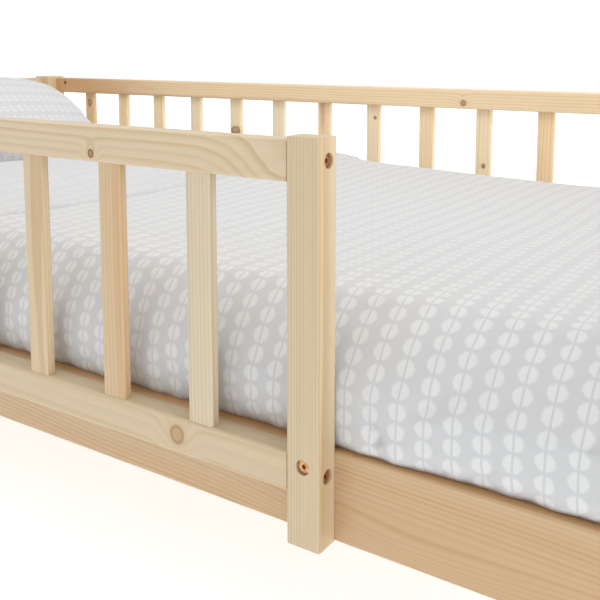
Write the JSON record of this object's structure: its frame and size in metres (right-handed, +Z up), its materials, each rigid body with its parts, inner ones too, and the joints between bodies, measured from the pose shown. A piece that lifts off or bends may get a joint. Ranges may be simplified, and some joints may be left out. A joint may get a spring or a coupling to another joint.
{
  "type": "toddler bed",
  "caption": "Low solid pine toddler bed with slatted guards all round, an entry gap at the front, a slatted base, a mattress, a turned-back duvet and a pillow.",
  "frame": {"origin": "centre of the bed's footprint, on the floor", "axes": "+X toward the foot end, +Y toward the back guard (the entry and the front guard are on the -Y side), +Z up"},
  "size_m": [1.91, 0.91, 0.4845],
  "materials": {
    "pine": "clear satin lacquer",
    "base_pine": "sanded, unfinished",
    "beech": "plain",
    "bolt_steel": "yellow-bronze zinc plate",
    "screw_steel": "yellow zinc plate",
    "webbing": "woven tape",
    "mattress_cover": "knitted cotton",
    "bedding_cotton": "light grey cotton with pale split dots"
  },
  "bodies": {
    "frame": {"back_lower_rail": "pine", "back_slat_01": "pine", "back_slat_02": "pine", "back_slat_03": "pine", "back_slat_04": "pine", "back_slat_05": "pine", "back_slat_06": "pine", "back_slat_07": "pine", "back_slat_08": "pine", "back_slat_09": "pine", "back_slat_10": "pine", "back_slat_11": "pine", "back_slat_12": "pine", "back_slat_13": "pine", "back_slat_14": "pine", "back_slat_15": "pine", "back_top_rail": "pine", "barrel_nuts": "bolt_steel", "base_slats": "base_pine", "base_straps": "webbing", "cleat_back": "base_pine", "cleat_front": "base_pine", "cleat_screws": "screw_steel", "dowels": "beech", "entry_post": "pine", "entry_post_bolts": "bolt_steel", "foot_board": "pine", "foot_guard_slats": "pine", "foot_lower_rail": "pine", "foot_post_back": "pine", "foot_post_front": "pine", "foot_top_rail": "pine", "frame_bolts": "bolt_steel", "front_lower_rail": "pine", "front_slat_01": "pine", "front_slat_02": "pine", "front_slat_03": "pine", "front_slat_04": "pine", "front_slat_05": "pine", "front_slat_06": "pine", "front_slat_07": "pine", "front_slat_08": "pine", "front_slat_09": "pine", "front_slat_10": "pine", "front_slat_11": "pine", "front_top_rail": "pine", "head_board": "pine", "head_guard_slats": "pine", "head_lower_rail": "pine", "head_post_back": "pine", "head_post_front": "pine", "head_top_rail": "pine", "insert_nut": "bolt_steel", "side_board_back": "pine", "side_board_front": "pine", "slat_screws": "screw_steel"},
    "mattress_body": {"mattress": "mattress_cover"},
    "duvet_body": {"duvet": "bedding_cotton"},
    "pillow_body": {"pillow": "bedding_cotton"}
  },
  "joints": [
    {"name": "mattress_lift", "type": "slide", "parent": "frame", "child": "mattress_body", "axis": [0, 0, 1], "range_m": [0, 0.34]},
    {"name": "duvet_lift", "type": "slide", "parent": "mattress_body", "child": "duvet_body", "axis": [0, 0, 1], "range_m": [0, 0.3]},
    {"name": "pillow_lift", "type": "slide", "parent": "mattress_body", "child": "pillow_body", "axis": [0, 0, 1], "range_m": [0, 0.25]}
  ]
}
